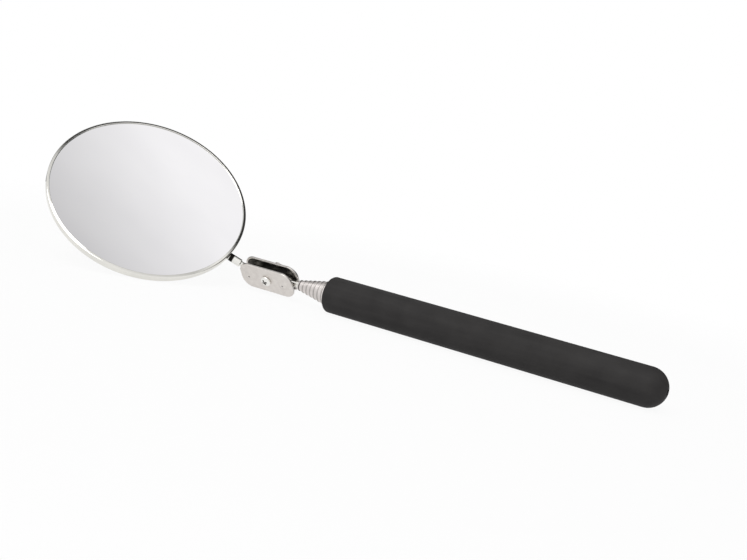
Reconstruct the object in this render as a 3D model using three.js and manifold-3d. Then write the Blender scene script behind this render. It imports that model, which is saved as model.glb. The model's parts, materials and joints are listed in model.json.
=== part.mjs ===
// Telescoping inspection mirror: a round glass in a steel cup, a double ball joint between two
// plates, and a seven-section telescoping rod that closes into a vinyl grip.
// Millimetres. The rod runs along +X towards the grip's rear, +Z is up, and the mirror lies on
// the same surface as the grip.

import * as THREE from 'three';
import { mergeVertices } from 'three/addons/utils/BufferGeometryUtils.js';
import Module from 'manifold-3d';

const wasm = await Module();
wasm.setup();

// Mirror head
const mirrorDiameter = 82.6;
const cupWall = 0.5;
const cupCornerRadius = 1.3;
const lipThickness = 0.4;
const lipOverlap = 0.6;
const glassThickness = 1.9;
const glassBevel = 0.4;
const padThickness = 0.5;
const seatGap = 0.05;

// Stem and its saddle on the back of the cup
const stemDiameter = 3.3;
const stemNeckDiameter = 2.2;
const stemNeckTaper = 0.8;
const ballToRim = 11.4;
const stemTail = 30;
const stemTipRound = 0.8;
const stemPinDiameter = 1.4;
const saddleLength = 14;
const saddleInset = 4;
const saddleWall = 0.8;
const saddleFlange = 4.5;
const saddleGap = 0.1;

// Ball joint
const ballDiameter = 5.7;
const ballSpacing = 16.8;
const ballSeatGap = 0.1;
const domeWall = 0.6;
const plateLength = 26;
const plateWidth = 12.2;
const plateCornerRadius = 4.6;
const plateThickness = 0.95;
const plateGap = 3.6;
const pinGap = 0.1;

// Clamping screw and lock nut
const screwDiameter = 2.9;
const screwHoleGap = 0.15;
const screwHeadDiameter = 4.7;
const screwHeadHeight = 1.5;
const screwHeadRim = 0.5;
const recessLength = 2.7;
const recessWidth = 0.7;
const recessDepth = 0.8;
const nutAcrossFlats = 5.5;
const nutHexHeight = 2.4;
const nutCollarHeight = 1.5;
const nutCollarDiameter = 4.6;
const nutThreadGap = 0.1;
const screwBeyondNut = 0.4;
const faceGap = 0.05;

// Telescoping rod
const sectionCount = 7;
const outerTubeDiameter = 9.5;
const innerTubeDiameter = 4.5;
const tubeWall = 0.25;
const tubeLength = 130;
const tubeFrontRound = 0.3;
const tubeLipLength = 0.4;
const tubeLipGap = 0.05;
const bandPitch = 2.07;
const ballToTube = 6.8;
const studNeckDiameter = 2.8;
const studPlugLength = 10;
const studShoulderGap = 0.3;
const runningGap = 0.05;

// Friction bushes and the rear plug
const bushFlangeLength = 0.8;
const bushSpigotLength = 0.9;
const bushWall = 0.35;
const bushSlit = 0.5;
const bushGap = 0.04;
const plugFlangeLength = 0.8;
const plugSpigotLength = 0.8;

// Vinyl grip
const gripDiameter = 14.6;
const gripFrontRound = 2.2;
const gripAfterTube = 2.4;
const gripEndThickness = 10.8;
const gripHoleDiameter = 2;
const gripEndGap = 0.3;

// How the head lies, in degrees
const plateRoll = 128;
const stemSwing = -32;
const stemRock = 5.5;
const mirrorSpin = -96.40;

// Fineness of the round surfaces
const tubeSides = 24;
const gripSides = 32;
const mirrorSides = 64;
const smallSides = 24;

// Values that follow from the ones above
const mirrorRadius = mirrorDiameter / 2;
const cupDepth = lipThickness + glassThickness + padThickness + cupWall + 3 * seatGap;
const glassRadius = mirrorRadius - cupWall - seatGap;
const ballRadius = ballDiameter / 2;
const stemRadius = stemDiameter / 2;
const stemReach = mirrorRadius + ballToRim;
const plateStack = plateGap / 2 + plateThickness;
const tubeStep = (outerTubeDiameter - innerTubeDiameter) / 2 / (sectionCount - 1);
const facetShrink = Math.cos(Math.PI / tubeSides);

const radians = THREE.MathUtils.degToRad;

function material(color, roughness, metalness) {
  return new THREE.MeshStandardMaterial({ color, roughness, metalness });
}

const polishedSteel = material(0xd8d6d2, 0.18, 1);
const nickelSteel = material(0xcfccc6, 0.35, 1);
const satinTube = material(0xc9c4c0, 0.3, 1);
const brass = material(0xb9965a, 0.4, 1);
const silvered = material(0xe9ebec, 0.04, 1);
const blackVinyl = material(0x2b2a2a, 0.6, 0);
const blackNylon = material(0x1c1c1c, 0.55, 0);
const greyFoam = material(0x6f6f6c, 0.9, 0);

// A profile point: distance from the axis, then position along it
function at(radius, along) {
  return new THREE.Vector2(radius, along);
}

function arc(centreRadius, centreAlong, radius, fromDegrees, toDegrees, steps) {
  const points = [];
  for (let i = 0; i <= steps; i += 1) {
    const angle = radians(fromDegrees + ((toDegrees - fromDegrees) * i) / steps);
    points.push(at(centreRadius + radius * Math.cos(angle), centreAlong + radius * Math.sin(angle)));
  }
  return points;
}

// Turned about +X
function turned(profile, sides) {
  return new THREE.LatheGeometry(profile, sides).rotateZ(-Math.PI / 2);
}

// Turned about +Z
function turnedUp(profile, sides) {
  return new THREE.LatheGeometry(profile, sides).rotateX(Math.PI / 2);
}

function solidOf(geometry) {
  const bare = geometry.clone();
  bare.deleteAttribute('normal');
  bare.deleteAttribute('uv');
  const merged = mergeVertices(bare, 1e-4);
  const corners = merged.index.array;
  const kept = [];
  for (let i = 0; i < corners.length; i += 3) {
    const [a, b, c] = [corners[i], corners[i + 1], corners[i + 2]];
    if (a !== b && b !== c && c !== a) {
      kept.push(a, b, c);
    }
  }
  return new wasm.Manifold(new wasm.Mesh({
    numProp: 3,
    vertProperties: merged.attributes.position.array,
    triVerts: Uint32Array.from(kept),
  }));
}

function geometryOf(solid) {
  const mesh = solid.getMesh();
  const geometry = new THREE.BufferGeometry();
  geometry.setAttribute('position', new THREE.BufferAttribute(new Float32Array(mesh.vertProperties), 3));
  geometry.setIndex(new THREE.BufferAttribute(new Uint32Array(mesh.triVerts), 1));
  geometry.computeVertexNormals();
  return geometry;
}

function named(name, geometry, finish) {
  const mesh = new THREE.Mesh(geometry, finish);
  mesh.name = name;
  return mesh;
}

// --- Telescoping rod: section 1 is the fixed outer tube, the last is the innermost ---

function tubeRadius(section) {
  return outerTubeDiameter / 2 - tubeStep * (section - 1);
}

function boreRadius(section) {
  return tubeRadius(section) - tubeWall;
}

function tubeFront(section) {
  return ballToTube + bandPitch * (sectionCount - section);
}

function tubeRear(section) {
  return tubeFront(section) + tubeLength;
}

// The front end is rolled in until it nearly touches what slides through it
function tube(section) {
  const radius = tubeRadius(section);
  const bore = boreRadius(section);
  const front = tubeFront(section);
  const passing = section < sectionCount ? tubeRadius(section + 1) : studNeckDiameter / 2;
  const lip = passing + tubeLipGap;
  const lipEnd = front + tubeLipLength;
  const profile = [
    at(bore, tubeRear(section)),
    at(bore, lipEnd + (bore - lip)),
    at(lip, lipEnd),
    at(lip, front),
    ...arc(radius - tubeFrontRound, front + tubeFrontRound, tubeFrontRound, -90, 0, 4),
    at(radius, tubeRear(section)),
    at(bore, tubeRear(section)),
  ];
  return turned(profile, tubeSides);
}

// A split ring: its spigot sits in its own tube and its flange rubs in the next larger one
function frictionBush(section) {
  const flange = boreRadius(section - 1) - bushGap;
  const spigot = boreRadius(section) - bushGap;
  const bore = spigot - bushWall;
  const rear = tubeRear(section);
  const profile = [
    at(bore, rear + seatGap + bushFlangeLength),
    at(bore, rear - bushSpigotLength),
    at(spigot, rear - bushSpigotLength),
    at(spigot, rear + seatGap),
    at(flange, rear + seatGap),
    at(flange, rear + seatGap + bushFlangeLength),
    at(bore, rear + seatGap + bushFlangeLength),
  ];
  const length = bushSpigotLength + bushFlangeLength + 2;
  const slit = new THREE.BoxGeometry(length, 2 * flange, bushSlit).translate(rear, flange, 0);
  return geometryOf(solidOf(turned(profile, tubeSides)).subtract(solidOf(slit)));
}

function rearPlug() {
  const rear = tubeRear(1);
  const spigot = boreRadius(1) - bushGap;
  const profile = [
    at(0, rear - plugSpigotLength),
    at(spigot, rear - plugSpigotLength),
    at(spigot, rear + seatGap),
    at(tubeRadius(1), rear + seatGap),
    at(tubeRadius(1), rear + seatGap + plugFlangeLength),
    at(0, rear + seatGap + plugFlangeLength),
  ];
  return turned(profile, tubeSides);
}

function gripSleeve() {
  const radius = gripDiameter / 2;
  const front = tubeFront(1) + gripAfterTube;
  const bore = tubeRadius(1) + runningGap;
  const boreEnd = tubeRear(1) + seatGap + plugFlangeLength + gripEndGap;
  const rear = boreEnd + gripEndThickness;
  const hole = gripHoleDiameter / 2;
  const holeAngle = 90 - THREE.MathUtils.radToDeg(Math.asin(hole / radius));
  const profile = [
    at(bore, boreEnd),
    at(bore, front),
    ...arc(radius - gripFrontRound, front + gripFrontRound, gripFrontRound, -90, 0, 6),
    ...arc(0, rear - radius, radius, 0, holeAngle, 9),
    at(hole, boreEnd),
    at(bore, boreEnd),
  ];
  return turned(profile, gripSides);
}

// Ball, neck and the plug that holds them in the innermost tube
function rodBallStud() {
  const neck = studNeckDiameter / 2;
  const neckAngle = THREE.MathUtils.radToDeg(Math.acos(neck / ballRadius));
  const plug = boreRadius(sectionCount) * facetShrink - runningGap;
  const lipInside = ballToTube + tubeLipLength + (boreRadius(sectionCount) - neck - tubeLipGap);
  const plugStart = lipInside + studShoulderGap;
  const profile = [
    ...arc(0, 0, ballRadius, -90, neckAngle, 14),
    at(neck, plugStart),
    at(plug, plugStart),
    at(plug, plugStart + studPlugLength),
    at(0, plugStart + studPlugLength),
  ];
  profile[0].x = 0;
  return turned(profile, smallSides);
}

// --- Ball joint: plates in the XY plane, front side +Z, the rod's ball at the origin ---

function roundedPlate() {
  const x = plateLength / 2 - plateCornerRadius;
  const y = plateWidth / 2 - plateCornerRadius;
  const outline = new THREE.Shape();
  outline.absarc(x, y, plateCornerRadius, 0, Math.PI / 2);
  outline.absarc(-x, y, plateCornerRadius, Math.PI / 2, Math.PI);
  outline.absarc(-x, -y, plateCornerRadius, Math.PI, 1.5 * Math.PI);
  outline.absarc(x, -y, plateCornerRadius, 1.5 * Math.PI, 2 * Math.PI);
  const hole = new THREE.Path();
  hole.absarc(0, 0, screwDiameter / 2 + screwHoleGap, 0, 2 * Math.PI, true);
  outline.holes.push(hole);
  return new THREE.ExtrudeGeometry(outline, {
    depth: plateThickness, bevelEnabled: false, curveSegments: 8,
  }).translate(-ballSpacing / 2, 0, plateGap / 2);
}

function jointPlate(side) {
  const domeRadius = ballRadius + ballSeatGap + domeWall;
  let plate = solidOf(roundedPlate());
  for (const x of [0, -ballSpacing]) {
    const capAngle = THREE.MathUtils.radToDeg(Math.asin((plateGap / 2 + faceGap) / domeRadius));
    const cap = [
      at(0, plateGap / 2 + faceGap),
      ...arc(0, 0, domeRadius, capAngle, 90, 8),
    ];
    cap[cap.length - 1].x = 0;
    plate = plate.add(solidOf(turnedUp(cap, smallSides).translate(x, 0, 0)));
  }
  for (const x of [0, -ballSpacing]) {
    const seat = new THREE.SphereGeometry(ballRadius + ballSeatGap, smallSides, 16).translate(x, 0, 0);
    plate = plate.subtract(solidOf(seat));
  }
  const geometry = geometryOf(plate);
  return side > 0 ? geometry : geometry.rotateX(Math.PI);
}

function jointScrew() {
  const shank = screwDiameter / 2;
  const head = screwHeadDiameter / 2;
  const headBase = plateStack + faceGap;
  const tip = -(plateStack + faceGap + nutHexHeight + nutCollarHeight + screwBeyondNut);
  const crown = screwHeadHeight - screwHeadRim;
  const profile = [
    at(0, tip),
    at(shank, tip),
    at(shank, headBase),
    at(head, headBase),
    at(head, headBase + screwHeadRim),
  ];
  for (let step = 1; step <= 6; step += 1) {
    const angle = radians(15 * step);
    profile.push(at(head * Math.cos(angle), headBase + screwHeadRim + crown * Math.sin(angle)));
  }
  profile[profile.length - 1].x = 0;
  let screw = solidOf(turnedUp(profile, smallSides));
  const recessBottom = headBase + screwHeadHeight - recessDepth;
  for (const turn of [0, 90]) {
    const slot = new THREE.BoxGeometry(recessLength, recessWidth, 2 * recessDepth)
      .rotateZ(radians(turn))
      .translate(0, 0, recessBottom + recessDepth);
    screw = screw.subtract(solidOf(slot));
  }
  return geometryOf(screw).translate(-ballSpacing / 2, 0, 0);
}

function lockNut() {
  const thread = screwDiameter / 2 + nutThreadGap;
  const corner = nutAcrossFlats / Math.sqrt(3);
  const corners = [];
  for (let i = 0; i < 6; i += 1) {
    const angle = radians(60 * i);
    corners.push(new THREE.Vector2(corner * Math.cos(angle), corner * Math.sin(angle)));
  }
  const hexagon = new THREE.Shape(corners);
  const hex = new THREE.ExtrudeGeometry(hexagon, { depth: nutHexHeight, bevelEnabled: false });
  const collarRadius = nutCollarDiameter / 2;
  const top = nutHexHeight + nutCollarHeight;
  const collar = [
    at(0, nutHexHeight / 2),
    at(collarRadius, nutHexHeight / 2),
    ...arc(collarRadius - 0.5, top - 0.5, 0.5, 0, 90, 3),
    at(0, top),
  ];
  const bore = new THREE.CylinderGeometry(thread, thread, 3 * top, smallSides).rotateX(Math.PI / 2);
  const nut = solidOf(hex).add(solidOf(turnedUp(collar, smallSides))).subtract(solidOf(bore));
  return geometryOf(nut)
    .rotateX(Math.PI)
    .translate(-ballSpacing / 2, 0, -(plateStack + faceGap));
}

// --- Mirror head: the mirror's ball at the origin, stem along -X, glass facing +Z ---

function mirrorBall() {
  const pin = stemPinDiameter / 2 + pinGap;
  const bore = new THREE.CylinderGeometry(pin, pin, ballDiameter, smallSides)
    .rotateZ(Math.PI / 2)
    .translate(-ballRadius, 0, 0);
  const ball = new THREE.SphereGeometry(ballRadius, smallSides, 16);
  return geometryOf(solidOf(ball).subtract(solidOf(bore)));
}

// The pin enters the ball, the neck clears the plates, and the rod runs under the cup
function mirrorStem() {
  const pin = stemPinDiameter / 2;
  const neck = stemNeckDiameter / 2;
  const neckStart = Math.sqrt(ballRadius ** 2 - (pin + pinGap) ** 2) + faceGap;
  const neckEnd = plateWidth / 2 + faceGap;
  const tip = ballToRim + stemTail;
  const profile = [
    at(0, -tip),
    ...arc(stemRadius - stemTipRound, -tip + stemTipRound, stemTipRound, -90, 0, 4),
    at(stemRadius, -neckEnd - stemNeckTaper),
    at(neck, -neckEnd),
    at(neck, -neckStart),
    at(pin, -neckStart),
    at(pin, -pinGap),
    at(0, -pinGap),
  ];
  return turned(profile, smallSides);
}

// Distance from the stem's axis to the back of the cup
const stemToBack = stemRadius + saddleGap;

// A strap bent over the stem, its two flanges flat on the back of the cup
function stemSaddle() {
  const flat = stemToBack - seatGap;
  const inner = stemRadius + saddleGap;
  const outer = inner + saddleWall;
  const reach = outer + saddleFlange;
  const bend = new THREE.Shape();
  bend.moveTo(-reach, flat);
  bend.lineTo(-reach, flat - saddleWall);
  bend.lineTo(-outer, flat - saddleWall);
  bend.lineTo(-outer, 0);
  bend.absarc(0, 0, outer, Math.PI, 2 * Math.PI, false);
  bend.lineTo(outer, flat - saddleWall);
  bend.lineTo(reach, flat - saddleWall);
  bend.lineTo(reach, flat);
  bend.lineTo(inner, flat);
  bend.lineTo(inner, 0);
  bend.absarc(0, 0, inner, 2 * Math.PI, Math.PI, true);
  bend.lineTo(-inner, flat);
  const strap = new THREE.ExtrudeGeometry(bend, {
    depth: saddleLength, bevelEnabled: false, curveSegments: 12,
  });
  return strap
    .rotateX(Math.PI / 2)
    .rotateZ(Math.PI / 2)
    .translate(-ballToRim - saddleInset - saddleLength, 0, 0);
}

// The cup, pad and glass are turned about the mirror's own axis, with the lip's front face at 0
function mirrorCup() {
  const radius = mirrorRadius;
  const inside = radius - cupWall;
  const lipRadius = glassRadius - lipOverlap;
  const lipRound = lipThickness;
  const profile = [
    at(0, -cupDepth),
    ...arc(radius - cupCornerRadius, -cupDepth + cupCornerRadius, cupCornerRadius, -90, 0, 4),
    ...arc(radius - lipRound, -lipRound, lipRound, 0, 90, 3),
    at(lipRadius, 0),
    at(lipRadius, -lipThickness),
    at(inside, -lipThickness),
    at(inside, -cupDepth + cupWall),
    at(0, -cupDepth + cupWall),
  ];
  return turnedUp(profile, mirrorSides);
}

function mirrorGlass() {
  const face = -lipThickness - seatGap;
  const back = face - glassThickness;
  const profile = [
    at(0, back),
    at(glassRadius, back),
    at(glassRadius, face - glassBevel),
    at(glassRadius - glassBevel - lipOverlap, face),
    at(0, face),
  ];
  return turnedUp(profile, mirrorSides);
}

function backingPad() {
  const face = -lipThickness - 2 * seatGap - glassThickness;
  const profile = [
    at(0, face - padThickness),
    at(glassRadius, face - padThickness),
    at(glassRadius, face),
    at(0, face),
  ];
  return turnedUp(profile, mirrorSides);
}

// --- Assembly: nested groups, from the rod's ball outwards ---

const mirrorHead = new THREE.Group();
mirrorHead.add(named('mirror_stem', mirrorStem(), polishedSteel));
mirrorHead.add(named('stem_saddle', stemSaddle(), nickelSteel));

const mirror = new THREE.Group();
mirror.position.set(-stemReach, 0, stemToBack + cupDepth);
mirror.add(named('mirror_cup', mirrorCup(), polishedSteel));
mirror.add(named('mirror_glass', mirrorGlass(), silvered));
mirror.add(named('backing_pad', backingPad(), greyFoam));
mirrorHead.add(mirror);
mirrorHead.add(named('mirror_ball', mirrorBall(), polishedSteel));
mirrorHead.position.set(-ballSpacing, 0, 0);
mirrorHead.rotation.set(radians(mirrorSpin), radians(stemRock), radians(stemSwing), 'ZYX');

const joint = new THREE.Group();
joint.add(named('joint_plate_front', jointPlate(1), nickelSteel));
joint.add(named('joint_plate_rear', jointPlate(-1), nickelSteel));
joint.add(named('joint_screw', jointScrew(), polishedSteel));
joint.add(named('lock_nut', lockNut(), nickelSteel));
joint.add(mirrorHead);
joint.rotation.x = radians(plateRoll);

const assembly = new THREE.Group();
assembly.add(joint);
assembly.add(named('rod_ball_stud', rodBallStud(), polishedSteel));
assembly.add(named('grip_sleeve', gripSleeve(), blackVinyl));
assembly.add(named('rear_plug', rearPlug(), blackNylon));
for (let section = 1; section <= sectionCount; section += 1) {
  assembly.add(named(`tube_${section}`, tube(section), satinTube));
}
for (let section = 2; section <= sectionCount; section += 1) {
  assembly.add(named(`friction_bush_${section}`, frictionBush(section), brass));
}

// The origin is the middle of the bottom of the whole object's box
assembly.updateMatrixWorld(true);
const box = new THREE.Box3().setFromObject(assembly, true);
const middle = box.getCenter(new THREE.Vector3());
assembly.position.set(-middle.x, -middle.y, -box.min.z);

const model = new THREE.Group();
model.add(assembly);

export default model;
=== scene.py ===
import json
import math

import bmesh
import bpy
from mathutils import Matrix, Vector


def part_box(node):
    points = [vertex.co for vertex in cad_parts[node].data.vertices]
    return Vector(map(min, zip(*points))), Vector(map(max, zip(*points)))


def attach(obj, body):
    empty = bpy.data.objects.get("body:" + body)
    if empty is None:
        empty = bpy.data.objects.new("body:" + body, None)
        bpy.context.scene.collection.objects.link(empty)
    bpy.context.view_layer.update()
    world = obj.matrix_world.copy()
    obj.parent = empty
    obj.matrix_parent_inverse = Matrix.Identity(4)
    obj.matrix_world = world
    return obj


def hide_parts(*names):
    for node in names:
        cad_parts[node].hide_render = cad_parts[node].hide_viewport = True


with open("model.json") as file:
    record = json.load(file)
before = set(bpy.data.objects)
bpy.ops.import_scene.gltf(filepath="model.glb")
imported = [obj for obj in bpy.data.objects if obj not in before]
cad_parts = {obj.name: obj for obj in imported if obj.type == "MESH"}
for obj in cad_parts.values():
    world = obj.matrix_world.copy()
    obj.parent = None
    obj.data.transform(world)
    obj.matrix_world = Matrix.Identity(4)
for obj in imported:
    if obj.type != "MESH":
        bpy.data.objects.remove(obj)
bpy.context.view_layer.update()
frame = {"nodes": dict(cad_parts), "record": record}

mm = 0.001
weldDistance = 1e-7  # metres
flatEnough = 0.999999  # how square to the axis a face is before it shades flat
print("frame loaded:", len(frame["nodes"]), "nodes")

# where the frame puts the balls, the rod, the plates and the glass

record = frame["record"]
jointOf = {joint["name"]: joint for joint in record["behaviour"]["joints"]}
mountOf = {mount["name"]: mount for mount in record["mounts"]}


def placed(origin, along, normal):
    # local X along, local Z on the normal, origin in metres
    x = Vector(along).normalized()
    z = Vector(normal)
    z = (z - x * z.dot(x)).normalized()
    y = z.cross(x)
    return Matrix.Translation(Vector(origin)) @ Matrix((x, y, z)).transposed().to_4x4()


rodBallAt = Vector(jointOf["plate_swing"]["pos_m"])
mirrorBallAt = Vector(jointOf["mirror_swing"]["pos_m"])
plateNormal = Vector(jointOf["plate_swing"]["axis"])
stemAxis = Vector(jointOf["mirror_spin"]["axis"])
glassNormal = Vector(mountOf["mirror_face"]["axis"])
rodPlace = placed(rodBallAt, (1, 0, 0), (0, 0, 1))
stemPlace = placed(mirrorBallAt, -stemAxis, glassNormal)
ballSpacing = (rodBallAt - mirrorBallAt).length / mm

# from the mirror's ball to the middle of the lip's front, in mm
mirrorReach = 52.7
mirrorLift = 5.2
mirrorCentre = mirrorBallAt + (stemAxis * mirrorReach + glassNormal * mirrorLift) * mm


def turnedSize(node):
    # radius, front and rear of a piece on the rod, in mm from the rod's ball
    low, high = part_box(node)
    front = (low.x - rodBallAt.x) / mm
    rear = (high.x - rodBallAt.x) / mm
    return (high.z - low.z) / 2 / mm, front, rear


# node graphs, with sums written as expressions

class Wire:
    def __init__(self, graph, socket):
        self.graph = graph
        self.socket = socket

    def maths(self, operation, first, second):
        return self.graph.add("ShaderNodeMath", {"operation": operation}, {0: first, 1: second})

    def __add__(self, other):
        return self.maths("ADD", self, other)

    def __sub__(self, other):
        return self.maths("SUBTRACT", self, other)

    def __rsub__(self, other):
        return self.maths("SUBTRACT", other, self)

    def __mul__(self, other):
        return self.maths("MULTIPLY", self, other)

    def __truediv__(self, other):
        return self.maths("DIVIDE", self, other)

    def __pow__(self, other):
        return self.maths("POWER", self, other)


class Graph:
    def __init__(self, tree):
        self.tree = tree

    def add(self, kind, settings=None, inputs=None, output=0):
        node = self.tree.nodes.new(kind)
        for key, value in (settings or {}).items():
            if key == "stops":
                self.setStops(node.color_ramp, value)
            else:
                setattr(node, key, value)
        for key, value in (inputs or {}).items():
            socket = node.inputs[key]
            if isinstance(value, Wire):
                self.tree.links.new(value.socket, socket)
            else:
                socket.default_value = value
        return Wire(self, node.outputs[output])

    def setStops(self, ramp, stops):
        while len(ramp.elements) < len(stops):
            ramp.elements.new(0.5)
        for element, (position, value) in zip(ramp.elements, stops):
            element.position = position
            element.color = (value, value, value, 1)


# turned pieces: one geometry tree sweeps any profile round the X axis

def startTree(tree, sockets):
    # the group's sockets, and a wire from each of its inputs
    face = tree.interface
    face.new_socket("Geometry", in_out="INPUT", socket_type="NodeSocketGeometry")
    for name, kind in sockets:
        face.new_socket(name, in_out="INPUT", socket_type="NodeSocket" + kind)
    face.new_socket("Geometry", in_out="OUTPUT", socket_type="NodeSocketGeometry")
    graph = Graph(tree)
    entry = tree.nodes.new("NodeGroupInput")
    return graph, [Wire(graph, socket) for socket in list(entry.outputs)[:len(sockets) + 1]]


def closeTree(graph, geometry, paint):
    real = graph.add("GeometryNodeRealizeInstances", None, {"Geometry": geometry})
    done = graph.add("GeometryNodeSetMaterial", None, {"Geometry": real, "Material": paint})
    leave = graph.tree.nodes.new("NodeGroupOutput")
    graph.tree.links.new(done.socket, leave.inputs[0])
    return graph.tree


def revolveTree():
    tree = bpy.data.node_groups.new("revolveProfile", "GeometryNodeTree")
    graph, (shape, count, gap, paint) = startTree(tree, (
        ("Sides", "Int"), ("Weld Distance", "Float"), ("Finish", "Material")))
    rows = graph.add("GeometryNodeAttributeDomainSize", {"component": "MESH"}, {"Geometry": shape})
    grid = graph.add("GeometryNodeMeshGrid", None, {
        "Size X": 1.0, "Size Y": 1.0, "Vertices X": rows, "Vertices Y": count + 1})
    index = graph.add("GeometryNodeInputIndex")
    row = graph.add("ShaderNodeMath", {"operation": "FLOOR"}, {0: (index + 0.5) / (count + 1)})
    turn = (index - row * (count + 1)) / count * (2 * math.pi)
    here = graph.add("GeometryNodeInputPosition")
    point = graph.add("GeometryNodeSampleIndex", {"data_type": "FLOAT_VECTOR", "domain": "POINT"}, {
        "Geometry": shape, "Value": here, "Index": row})
    along = graph.add("ShaderNodeSeparateXYZ", None, {"Vector": point})
    radius = Wire(graph, along.socket.node.outputs["Y"])
    cosine = graph.add("ShaderNodeMath", {"operation": "COSINE"}, {0: turn})
    sine = graph.add("ShaderNodeMath", {"operation": "SINE"}, {0: turn})
    onCircle = graph.add("ShaderNodeCombineXYZ", None, {
        "X": along, "Y": radius * cosine, "Z": radius * sine})
    moved = graph.add("GeometryNodeSetPosition", None, {"Geometry": grid, "Position": onCircle})
    closed = graph.add("GeometryNodeMergeByDistance", None, {"Geometry": moved, "Distance": gap})
    return closeTree(graph, closed, paint)


def runTree(piece, tree, values):
    # the modifier's result as a plain mesh
    modifier = piece.modifiers.new("build", "NODES")
    modifier.node_group = tree
    for item in tree.interface.items_tree:
        if item.item_type == "SOCKET" and item.in_out == "INPUT" and item.name in values:
            modifier[item.identifier] = values[item.name]
    bpy.context.view_layer.update()
    depsgraph = bpy.context.evaluated_depsgraph_get()
    mesh = bpy.data.meshes.new_from_object(piece.evaluated_get(depsgraph))
    piece.modifiers.remove(modifier)
    piece.data = mesh
    return piece


def oneFinish(piece, finish):
    # the tree leaves an empty first slot, so every face goes back to slot 0
    piece.data.materials.clear()
    piece.data.materials.append(finish)
    for face in piece.data.polygons:
        face.material_index = 0


def newPiece(name, mesh):
    piece = bpy.data.objects.new(name, mesh)
    bpy.context.scene.collection.objects.link(piece)
    return piece


def tidyMesh(piece, place, sharpAngle=35, flatDiscs=False):
    shape = bmesh.new()
    shape.from_mesh(piece.data)
    bmesh.ops.remove_doubles(shape, verts=shape.verts, dist=weldDistance)
    bmesh.ops.recalc_face_normals(shape, faces=shape.faces)
    shape.faces.ensure_lookup_table()
    discs = [face.index for face in shape.faces if flatDiscs and abs(face.normal.x) > flatEnough]
    bmesh.ops.transform(shape, matrix=place, verts=shape.verts)
    shape.to_mesh(piece.data)
    shape.free()
    piece.data.shade_smooth()
    piece.data.set_sharp_from_angle(angle=math.radians(sharpAngle))
    for index in discs:
        piece.data.polygons[index].use_smooth = False
    return piece


def filleted(corners, closed=False, steps=6):
    # corners are (along, radius, fillet) in mm; every corner with a fillet becomes an arc
    points = []
    count = len(corners)
    for i, (x, y, fillet) in enumerate(corners):
        here = Vector((x, y))
        if fillet <= 0 or (not closed and i in (0, count - 1)):
            points.append(here)
            continue
        before = Vector(corners[i - 1][:2]) - here
        after = Vector(corners[(i + 1) % count][:2]) - here
        half = before.angle(after) / 2
        reach = min(fillet / math.tan(half), before.length * 0.499, after.length * 0.499)
        size = reach * math.tan(half)
        centre = here + (before.normalized() + after.normalized()).normalized() * (size / math.sin(half))
        start = here + before.normalized() * reach - centre
        swing = (here + after.normalized() * reach - centre).angle_signed(start)
        for step in range(steps + 1):
            turn = swing * step / steps
            points.append(centre + Matrix.Rotation(turn, 2) @ start)
    if closed:
        points.append(points[0].copy())
    return supported(points)


def supported(points, gap=0.03):
    # extra points close to the ends of long straight runs, so that flats shade flat
    result = [points[0]]
    for here, after in zip(points, points[1:]):
        run = after - here
        if run.length > 0.6:
            step = run.normalized() * gap
            result += [here + step, after - step]
        result.append(after)
    return result


revolve = revolveTree()


def swept(name, points, sides, finish):
    mesh = bpy.data.meshes.new(name)
    mesh.from_pydata([(p.x * mm, p.y * mm, 0) for p in points], [], [])
    piece = newPiece(name, mesh)
    return runTree(piece, revolve, {"Sides": sides, "Weld Distance": weldDistance, "Finish": finish})


def turned(name, points, sides, place, finish, sharpAngle=35):
    piece = swept(name, points, sides, finish)
    oneFinish(piece, finish)
    return tidyMesh(piece, place, sharpAngle, True)


def finishPiece(piece, body, slotName, *nodes):
    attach(piece, body)
    if nodes:
        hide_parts(*nodes)
    return piece


# finishes

def newFinish(name):
    finish = bpy.data.materials.new(name)
    finish.use_nodes = True
    finish.node_tree.nodes.clear()
    return finish, Graph(finish.node_tree)


def ownCoordinates(graph, stretch=(1, 1, 1)):
    # object coordinates in mm, stretched along each axis
    where = graph.add("ShaderNodeTexCoord", None, None, "Object")
    return graph.add("ShaderNodeMapping", {"vector_type": "POINT"}, {
        "Vector": where, "Scale": tuple(1000 * s for s in stretch)})


def noise(graph, coordinates, scale, detail=3.0, roughness=0.5):
    return graph.add("ShaderNodeTexNoise", None, {
        "Vector": coordinates, "Scale": scale, "Detail": detail, "Roughness": roughness})


def between(graph, value, low, high, start=0.3, end=0.7):
    # a value spread over a range
    return graph.add("ShaderNodeMapRange", None, {
        "Value": value, "From Min": start, "From Max": end, "To Min": low, "To Max": high})


def mixColor(graph, factor, first, second):
    node = graph.tree.nodes.new("ShaderNodeMix")
    node.data_type = "RGBA"
    for socket, value in ((node.inputs[0], factor), (node.inputs[6], first), (node.inputs[7], second)):
        if isinstance(value, Wire):
            graph.tree.links.new(value.socket, socket)
        else:
            socket.default_value = value
    return Wire(graph, node.outputs[2])


def bumped(graph, height, distance):
    return graph.add("ShaderNodeBump", None, {
        "Height": height, "Distance": distance * mm, "Strength": 1.0})


def closeFinish(graph, values):
    shader = graph.tree.nodes.new("ShaderNodeBsdfPrincipled")
    for key, value in values.items():
        if isinstance(value, Wire):
            graph.tree.links.new(value.socket, shader.inputs[key])
        else:
            shader.inputs[key].default_value = value
    leave = graph.tree.nodes.new("ShaderNodeOutputMaterial")
    graph.tree.links.new(shader.outputs[0], leave.inputs["Surface"])


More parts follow.
